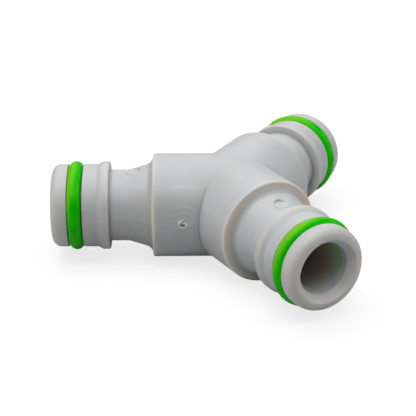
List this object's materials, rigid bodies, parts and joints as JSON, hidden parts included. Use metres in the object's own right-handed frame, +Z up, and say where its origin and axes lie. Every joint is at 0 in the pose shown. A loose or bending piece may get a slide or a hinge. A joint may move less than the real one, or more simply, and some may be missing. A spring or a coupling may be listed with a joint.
{
  "type": "three-way hose connector",
  "caption": "Level Y-shaped moulded hose connector with quick-connect nipples, latch collars, rubber seal rings and water ways that meet in the hub.",
  "frame": {"origin": "hub centre, where the axes of the three arms meet", "axes": "+Z up, normal to the plane of the arms; -X along the left arm; the front arm points 60 degrees from +X towards -Y, and the rear arm 60 degrees towards +Y"},
  "size_m": [0.061, 0.0698, 0.0212],
  "materials": {
    "moulded_plastic": "smooth satin, light grey, slightly translucent",
    "seal_rubber": "smooth satin, bright green"
  },
  "bodies": {
    "root": {"body": "moulded_plastic", "seal_ring_left": "seal_rubber", "seal_ring_front": "seal_rubber", "seal_ring_rear": "seal_rubber"}
  },
  "joints": []
}
